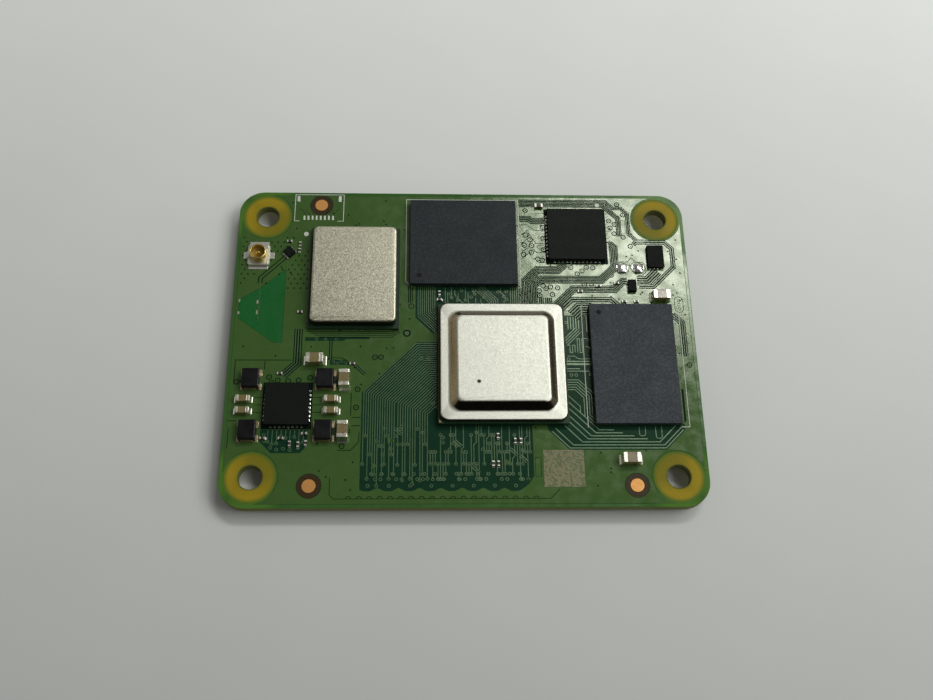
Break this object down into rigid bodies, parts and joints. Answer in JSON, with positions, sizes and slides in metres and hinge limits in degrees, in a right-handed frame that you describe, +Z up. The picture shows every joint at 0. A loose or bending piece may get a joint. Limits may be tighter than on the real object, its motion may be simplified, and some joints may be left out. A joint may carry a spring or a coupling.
{
  "type": "system on module",
  "caption": "Small green compute board with a lidded processor, memory, flash, shielded radio and antenna socket, plugging into a carrier board by headers underneath.",
  "frame": {"origin": "centre of the board's outline, on the plane of the headers' mating faces", "axes": "+X along the board's long side, +Y along its short side, +Z up from headers to processor lid"},
  "size_m": [0.055, 0.04, 0.0047],
  "materials": {
    "board": "semi-gloss green solder mask over glass-epoxy",
    "copper": "bare copper, matte",
    "solder": "bright tin solder",
    "nickel": "satin nickel plate",
    "shield": "grainy nickel-silver sheet",
    "mould": "fine-grained black moulding compound",
    "mould_quad": "satin black moulding compound",
    "laminate": "package laminate",
    "silicon": "polished silicon",
    "paste": "thermal paste",
    "ferrite": "pressed powder, matte black",
    "ceramic": "matte tan-brown ceramic",
    "socket_plastic": "off-white moulded plastic",
    "gold": "thin gold plate",
    "header_plastic": "black moulded plastic"
  },
  "bodies": {
    "root": {"circuit_board": "board", "fiducials": "copper", "spare_connector_pads": "solder", "spare_solder_pads": "solder", "soc_substrate": "laminate", "soc_lid": "nickel", "soc_die": "silicon", "soc_thermal_layer": "paste", "soc_solder_balls": "solder", "flash_package": "mould", "flash_substrate": "laminate", "flash_solder_balls": "solder", "memory_package": "mould", "memory_substrate": "laminate", "memory_solder_balls": "solder", "radio_substrate": "laminate", "radio_shield": "shield", "radio_chip": "mould", "radio_crystal": "nickel", "radio_solder_pads": "solder", "power_controller_body": "mould_quad", "power_controller_leads": "solder", "ethernet_controller_body": "mould_quad", "ethernet_controller_leads": "solder", "boot_flash_body": "mould_quad", "boot_flash_leads": "solder", "regulator_body": "mould_quad", "regulator_leads": "solder", "rf_switch_body": "mould_quad", "rf_switch_leads": "solder", "antenna_socket_base": "socket_plastic", "antenna_socket_shell": "gold", "antenna_socket_pin": "gold", "inductor_terminals": "solder", "capacitor_terminals": "solder", "small_passives_top": "ceramic", "small_passive_terminals_top": "solder", "small_passives_under": "ceramic", "small_passive_terminals_under": "solder", "front_connector_housing": "header_plastic", "front_connector_contacts": "gold", "rear_connector_housing": "header_plastic", "rear_connector_contacts": "gold", "inductor_1": "ferrite", "inductor_2": "ferrite", "inductor_3": "ferrite", "inductor_4": "ferrite", "capacitor_1": "ceramic", "capacitor_2": "ceramic", "capacitor_3": "ceramic", "capacitor_4": "ceramic", "capacitor_5": "ceramic", "capacitor_6": "ceramic", "capacitor_7": "ceramic", "capacitor_8": "ceramic", "capacitor_9": "ceramic"}
  },
  "joints": []
}
